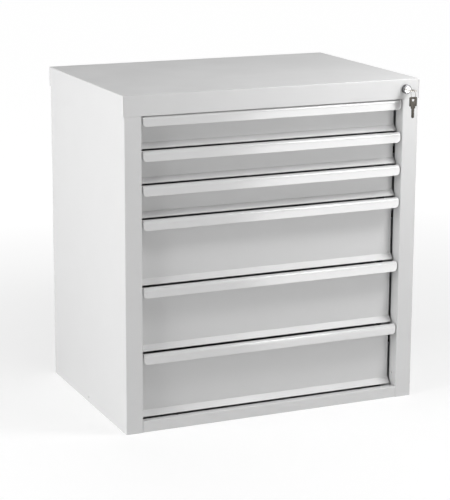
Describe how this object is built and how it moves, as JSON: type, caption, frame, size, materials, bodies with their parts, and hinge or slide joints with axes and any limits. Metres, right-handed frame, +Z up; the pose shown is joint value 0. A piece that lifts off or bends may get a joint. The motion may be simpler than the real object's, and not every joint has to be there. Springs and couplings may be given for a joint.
{
  "type": "multi-drawer cabinet",
  "caption": "Sheet-steel cabinet on the floor with full-width drawers on telescopic runners, rolled grips and a key lock that bars them all.",
  "frame": {"origin": "middle of the footprint on the floor", "axes": "+Z up, -Y to the front, +X to the right as seen from the front"},
  "size_m": [0.723, 0.5459, 0.76],
  "materials": {
    "carcass_paint": "light grey powder coat, satin",
    "drawer_paint": "light grey powder coat, satin",
    "zinc_steel": "zinc-plated",
    "runner_steel": "zinc-plated, lightly oiled",
    "lock_chrome": "polished",
    "key_steel": "dull nickel-plated",
    "guide_plastic": "moulded, matt"
  },
  "bodies": {
    "cabinet": {"lid": "carcass_paint", "side_panel_left": "carcass_paint", "side_panel_right": "carcass_paint", "back_panel": "carcass_paint", "base_pan": "carcass_paint", "upright_front_left": "zinc_steel", "upright_front_right": "zinc_steel", "upright_back_left": "zinc_steel", "upright_back_right": "zinc_steel", "lock_body": "lock_chrome", "lock_nut": "zinc_steel", "bar_guides": "guide_plastic", "cabinet_runners_1": "runner_steel", "cabinet_runners_2": "runner_steel", "cabinet_runners_3": "runner_steel", "cabinet_runners_4": "runner_steel", "cabinet_runners_5": "runner_steel", "cabinet_runners_6": "runner_steel"},
    "drawer_1": {"drawer_tray_1": "drawer_paint", "drawer_front_1": "drawer_paint", "drawer_runners_1": "runner_steel", "lock_catch_1": "zinc_steel"},
    "slide_1": {"middle_runners_1": "runner_steel"},
    "drawer_2": {"drawer_tray_2": "drawer_paint", "drawer_front_2": "drawer_paint", "drawer_runners_2": "runner_steel", "lock_catch_2": "zinc_steel"},
    "slide_2": {"middle_runners_2": "runner_steel"},
    "drawer_3": {"drawer_tray_3": "drawer_paint", "drawer_front_3": "drawer_paint", "drawer_runners_3": "runner_steel", "lock_catch_3": "zinc_steel"},
    "slide_3": {"middle_runners_3": "runner_steel"},
    "drawer_4": {"drawer_tray_4": "drawer_paint", "drawer_front_4": "drawer_paint", "drawer_runners_4": "runner_steel", "lock_catch_4": "zinc_steel"},
    "slide_4": {"middle_runners_4": "runner_steel"},
    "drawer_5": {"drawer_tray_5": "drawer_paint", "drawer_front_5": "drawer_paint", "drawer_runners_5": "runner_steel", "lock_catch_5": "zinc_steel"},
    "slide_5": {"middle_runners_5": "runner_steel"},
    "drawer_6": {"drawer_tray_6": "drawer_paint", "drawer_front_6": "drawer_paint", "drawer_runners_6": "runner_steel", "lock_catch_6": "zinc_steel"},
    "slide_6": {"middle_runners_6": "runner_steel"},
    "lock_core": {"lock_plug": "lock_chrome", "lock_cam": "zinc_steel"},
    "lock_bar": {"lock_bar": "zinc_steel"},
    "key": {"key": "key_steel"},
    "key_ring": {"key_ring": "key_steel"},
    "spare_key": {"spare_key": "key_steel"}
  },
  "joints": [
    {"name": "drawer_1_slide", "type": "slide", "parent": "cabinet", "child": "drawer_1", "axis": [0, -1, 0], "range_m": [0, 0.4]},
    {"name": "runner_1_slide", "type": "slide", "parent": "cabinet", "child": "slide_1", "axis": [0, -1, 0], "range_m": [0, 0.2]},
    {"name": "drawer_2_slide", "type": "slide", "parent": "cabinet", "child": "drawer_2", "axis": [0, -1, 0], "range_m": [0, 0.4]},
    {"name": "runner_2_slide", "type": "slide", "parent": "cabinet", "child": "slide_2", "axis": [0, -1, 0], "range_m": [0, 0.2]},
    {"name": "drawer_3_slide", "type": "slide", "parent": "cabinet", "child": "drawer_3", "axis": [0, -1, 0], "range_m": [0, 0.4]},
    {"name": "runner_3_slide", "type": "slide", "parent": "cabinet", "child": "slide_3", "axis": [0, -1, 0], "range_m": [0, 0.2]},
    {"name": "drawer_4_slide", "type": "slide", "parent": "cabinet", "child": "drawer_4", "axis": [0, -1, 0], "range_m": [0, 0.4]},
    {"name": "runner_4_slide", "type": "slide", "parent": "cabinet", "child": "slide_4", "axis": [0, -1, 0], "range_m": [0, 0.2]},
    {"name": "drawer_5_slide", "type": "slide", "parent": "cabinet", "child": "drawer_5", "axis": [0, -1, 0], "range_m": [0, 0.4]},
    {"name": "runner_5_slide", "type": "slide", "parent": "cabinet", "child": "slide_5", "axis": [0, -1, 0], "range_m": [0, 0.2]},
    {"name": "drawer_6_slide", "type": "slide", "parent": "cabinet", "child": "drawer_6", "axis": [0, -1, 0], "range_m": [0, 0.4]},
    {"name": "runner_6_slide", "type": "slide", "parent": "cabinet", "child": "slide_6", "axis": [0, -1, 0], "range_m": [0, 0.2]},
    {"name": "lock_turn", "type": "hinge", "parent": "cabinet", "child": "lock_core", "pos_m": [0.326, -0.24, 0.737], "axis": [0, -1, 0], "range_deg": [0, 90]},
    {"name": "bar_slide", "type": "slide", "parent": "cabinet", "child": "lock_bar", "axis": [0, 0, -1], "range_m": [0, 0.01414]},
    {"name": "key_pull", "type": "slide", "parent": "lock_core", "child": "key", "axis": [0, -1, 0], "range_m": [0, 0.025]},
    {"name": "ring_swing", "type": "hinge", "parent": "key", "child": "key_ring", "pos_m": [0.326, -0.28518, 0.72914], "axis": [1, 0, 0], "range_deg": [-20, 20]},
    {"name": "spare_key_swing", "type": "hinge", "parent": "key_ring", "child": "spare_key", "pos_m": [0.326, -0.28518, 0.71664], "axis": [0, -1, 0], "range_deg": [0, 40]}
  ],
  "couplings": [
    {"joint": "runner_1_slide", "follows": "drawer_1_slide", "ratio": 0.5},
    {"joint": "runner_2_slide", "follows": "drawer_2_slide", "ratio": 0.5},
    {"joint": "runner_3_slide", "follows": "drawer_3_slide", "ratio": 0.5},
    {"joint": "runner_4_slide", "follows": "drawer_4_slide", "ratio": 0.5},
    {"joint": "runner_5_slide", "follows": "drawer_5_slide", "ratio": 0.5},
    {"joint": "runner_6_slide", "follows": "drawer_6_slide", "ratio": 0.5},
    {"joint": "lock_turn", "follows": "bar_slide", "rad_per_m": 111.07}
  ]
}
